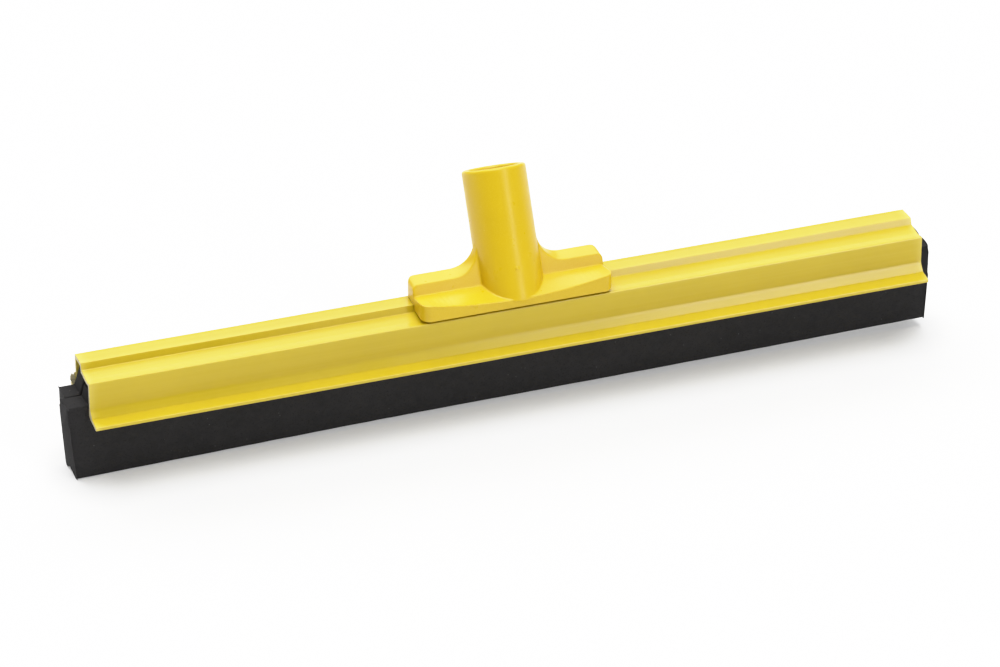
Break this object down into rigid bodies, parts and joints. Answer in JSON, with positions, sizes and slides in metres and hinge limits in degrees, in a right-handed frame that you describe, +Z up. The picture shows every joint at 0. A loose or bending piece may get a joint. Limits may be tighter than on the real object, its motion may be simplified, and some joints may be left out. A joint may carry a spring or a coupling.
{
  "type": "floor squeegee head",
  "caption": "Floor squeegee head: a long yellow open-ended channel grips black foam-rubber strips, with a moulded holder and a tilted round handle socket on top",
  "frame": {"origin": "the middle of the front strip's working edge, where it meets the floor, at mid length", "axes": "+X runs along the head, -Y is the front with the holder's apron, +Y is the side the handle leans to, +Z is up"},
  "size_m": [0.4675, 0.0696, 0.1236],
  "materials": {
    "frame_yellow": "satin extruded",
    "holder_yellow": "semi-gloss moulded",
    "foam_black": "matt cellular",
    "zinc_steel": "zinc plated"
  },
  "bodies": {
    "frame": {"frame_channel": "frame_yellow", "handle_holder": "holder_yellow", "holder_screw_left_back": "zinc_steel", "holder_screw_left_front": "zinc_steel", "holder_screw_right_back": "zinc_steel", "holder_screw_right_front": "zinc_steel", "washer_left_back": "zinc_steel", "washer_left_front": "zinc_steel", "washer_right_back": "zinc_steel", "washer_right_front": "zinc_steel"},
    "front_blade": {"front_blade": "foam_black"},
    "back_blade": {"back_blade": "foam_black"}
  },
  "joints": [
    {"name": "front_blade_slide", "type": "slide", "parent": "frame", "child": "front_blade", "axis": [1, 0, 0], "range_m": [-0.4, 0.4]},
    {"name": "back_blade_slide", "type": "slide", "parent": "frame", "child": "back_blade", "axis": [1, 0, 0], "range_m": [-0.4, 0.4]}
  ]
}
